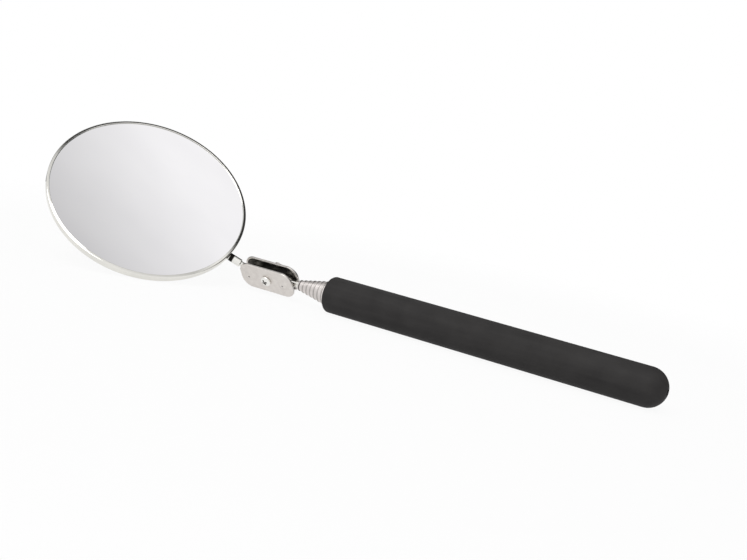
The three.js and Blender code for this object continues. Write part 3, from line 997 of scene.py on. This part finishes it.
def makeWelds(values):
    piece = newPiece("saddle_spot_welds", bpy.data.meshes.new("saddle_spot_welds"))
    runTree(piece, weldTree(), {
        "Rows": values["rows"], "Row Pitch": values["rowPitch"] * mm, "Across": values["across"] * mm,
        "Radius": values["radius"] * mm, "Height": values["height"] * mm, "Turns": values["turns"],
        "Finish": nickelPlate})
    oneFinish(piece, nickelPlate)
    lift = Matrix.Translation((values["middle"] * mm, 0, values["face"] * mm))
    tidyMesh(piece, stemPlace @ lift, 60)
    return finishPiece(piece, "mirror_head", "nickel_plate")


makeCup(mirror)
makeGlass(mirror)
makeSaddle(saddle)
makeWelds(welds)
print("mirror made")

# the pieces that stay as the frame has them, in their own finishes
hidden = {"rear_plug": blackNylon, "backing_pad": greyFoam}
for number in range(2, tubeCount + 1):
    hidden["friction_bush_%d" % number] = bushBrass
for name, finish in hidden.items():
    node = frame["nodes"][name]
    node.data.materials.clear()
    node.data.materials.append(finish)

# floor, light and camera

studio = {
    "floorDark": (0.84, 0.84, 0.84, 1), "floorLight": (0.86, 0.86, 0.86, 1), "floorScale": 3.0,
    "floorShow": 0.93, "floorFade": (0.20, 0.34), "floorMirrored": 0.8,
    "floorRadius": 0.36, "floorSides": 96, "floorDrop": 0.0002,
    "fill": 0.6, "lampSize": 0.75, "lampPower": 3.6, "lampAt": (-0.05, -0.55, 0.85), "lampAim": (0, 0, 0.03),
    "sky": ((0.0, 0.95), (0.37, 0.95), (0.475, 0.74), (0.522, 0.62), (0.5725, 0.97), (0.60, 0.97),
            (0.635, 0.05), (1.0, 0.03)),
    "leftFrom": (-0.16, -0.08), "leftBehind": (-0.02, 0.05), "leftLevel": 0.06,
    "patchFrom": (-0.68, -0.60), "patchTo": (-0.42, -0.34), "patch": 0.52}


def rayKinds(graph):
    # camera rays, and rays that reflect in or pass through something
    path = graph.tree.nodes.new("ShaderNodeLightPath")
    glossy, through = [Wire(graph, path.outputs[kind]) for kind in ("Is Glossy Ray", "Is Transmission Ray")]
    return Wire(graph, path.outputs["Is Camera Ray"]), glossy + through


def makeFloor(values):
    finish, graph = newFinish("paleFloor")
    seen, mirrored = rayKinds(graph)
    place = graph.add("ShaderNodeTexCoord", None, None, "Object")
    cloud = noise(graph, place, values["floorScale"], 2.0)
    color = mixColor(graph, between(graph, cloud, 0, 1), values["floorDark"], values["floorLight"])
    far = graph.add("ShaderNodeVectorMath", {"operation": "LENGTH"}, {0: place}, "Value")
    show = between(graph, far, values["floorShow"], 1.0, *values["floorFade"])
    matt = graph.tree.nodes.new("ShaderNodeBsdfDiffuse")
    graph.tree.links.new(color.socket, matt.inputs["Color"])
    white = graph.tree.nodes.new("ShaderNodeEmission")
    white.inputs["Color"].default_value = (1, 1, 1, 1)
    white.inputs["Strength"].default_value = 1.0
    # to the camera the floor is mostly clear, so that little more than its shadows shows and a mirror
    # that swings below it stays in sight; in reflections it is mostly white
    clear = graph.tree.nodes.new("ShaderNodeBsdfTransparent")
    surface = matt.outputs[0]
    for share, shader in ((mirrored * show * values["floorMirrored"], white), (seen * show, clear)):
        blend = graph.tree.nodes.new("ShaderNodeMixShader")
        graph.tree.links.new(share.socket, blend.inputs[0])
        graph.tree.links.new(surface, blend.inputs[1])
        graph.tree.links.new(shader.outputs[0], blend.inputs[2])
        surface = blend.outputs[0]
    leave = graph.tree.nodes.new("ShaderNodeOutputMaterial")
    graph.tree.links.new(surface, leave.inputs["Surface"])
    mesh = bpy.data.meshes.new("studio_floor")
    sides, radius = values["floorSides"], values["floorRadius"]
    turns = [2 * math.pi * i / sides for i in range(sides)]
    rim = [(radius * math.cos(t), radius * math.sin(t), 0) for t in turns]
    mesh.from_pydata(rim, [], [tuple(range(sides))])
    mesh.materials.append(finish)
    floor = newPiece("studio_floor", mesh)
    floor.location.z = -values["floorDrop"]


def makeWorld(values):
    world = bpy.data.worlds.new("studioLight")
    world.use_nodes = True
    world.node_tree.nodes.clear()
    bpy.context.scene.world = world
    graph = Graph(world.node_tree)
    seen, mirrored = rayKinds(graph)
    # a soft sky for reflections: bright in front, greyer across the middle, dark behind and on the
    # left, where one band is half bright
    towards = graph.add("ShaderNodeTexCoord", None, None, "Generated")
    side = graph.add("ShaderNodeSeparateXYZ", None, {"Vector": towards}, "X")
    ahead = Wire(graph, side.socket.node.outputs["Y"])
    left = between(graph, side, 1, 0, *values["leftFrom"])
    left = left * between(graph, ahead, 0, 1, *values["leftBehind"])
    patch = between(graph, side, 0, 1, *values["patchFrom"])
    patch = patch * between(graph, side, 1, 0, *values["patchTo"])
    sky = graph.add("ShaderNodeValToRGB", {"stops": values["sky"]}, {"Fac": ahead * 0.5 + 0.5})
    sky = sky * (1 - left) + left * (patch * values["patch"] + values["leftLevel"])
    strength = seen + mirrored * sky + (1 - seen - mirrored) * values["fill"]
    light = graph.add("ShaderNodeBackground", None, {"Color": (1, 1, 1, 1), "Strength": strength})
    leave = graph.tree.nodes.new("ShaderNodeOutputWorld")
    graph.tree.links.new(light.socket, leave.inputs["Surface"])


def makeLamp(name, values):
    lamp = bpy.data.lights.new(name, "AREA")
    lamp.shape = "DISK"
    lamp.size = values["lampSize"]
    lamp.energy = values["lampPower"]
    holder = bpy.data.objects.new(name, lamp)
    holder.location = values["lampAt"]
    towards = Vector(values["lampAim"]) - Vector(values["lampAt"])
    holder.rotation_euler = towards.to_track_quat("-Z", "Y").to_euler()
    bpy.context.scene.collection.objects.link(holder)


view = {
    "at": (0.23095, -0.3823, 0.0832), "right": (0.845, 0.4993, 0.1915),
    "down": (0.236, -0.0269, -0.9714), "lens": 57.83, "sensor": 36, "clipStart": 0.01}


def makeCamera(values):
    camera = bpy.data.objects.new("camera", bpy.data.cameras.new("camera"))
    camera.data.lens = values["lens"]
    camera.data.sensor_width = values["sensor"]
    camera.data.clip_start = values["clipStart"]
    right = Vector(values["right"]).normalized()
    up = -Vector(values["down"])
    up = (up - right * right.dot(up)).normalized()
    back = right.cross(up)
    turn = Matrix((right, up, back)).transposed().to_4x4()
    camera.matrix_world = Matrix.Translation(Vector(values["at"])) @ turn
    bpy.context.scene.collection.objects.link(camera)
    bpy.context.scene.camera = camera


makeFloor(studio)
makeWorld(studio)
makeLamp("overhead", studio)
makeCamera(view)
bpy.context.scene.view_settings.view_transform = "Standard"
print("studio made")
